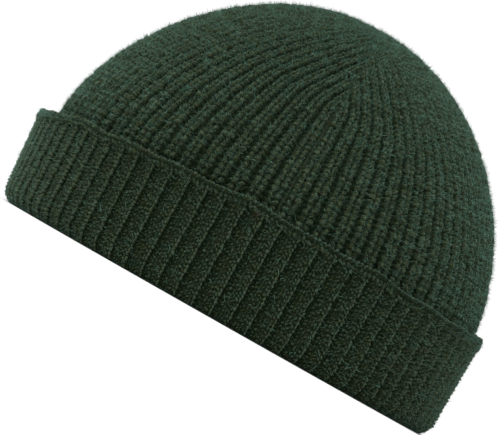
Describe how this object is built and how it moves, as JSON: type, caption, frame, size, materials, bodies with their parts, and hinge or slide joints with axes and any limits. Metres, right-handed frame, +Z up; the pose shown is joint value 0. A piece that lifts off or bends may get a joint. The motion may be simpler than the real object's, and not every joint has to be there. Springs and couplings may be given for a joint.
{
  "type": "fisherman beanie",
  "caption": "Ribbed wool fisherman beanie: a rounded shallow crown gathered at the top, and a turned-up cuff with a rolled edge.",
  "frame": {"origin": "middle of the ring that the beanie stands on, at the underside of its fold", "axes": "+Z up through the crown, +X to the back of the head, -X to the front, so Y runs across the head"},
  "size_m": [0.2116, 0.1896, 0.142],
  "materials": {
    "crown_knit": "fuzzy heathered wool, half-fisherman's rib, plump stitch columns outside",
    "cuff_knit": "fuzzy heathered wool, the rib's other face outside, narrow raised ribs"
  },
  "bodies": {
    "root": {"crown": "crown_knit", "cuff": "cuff_knit"}
  },
  "joints": []
}
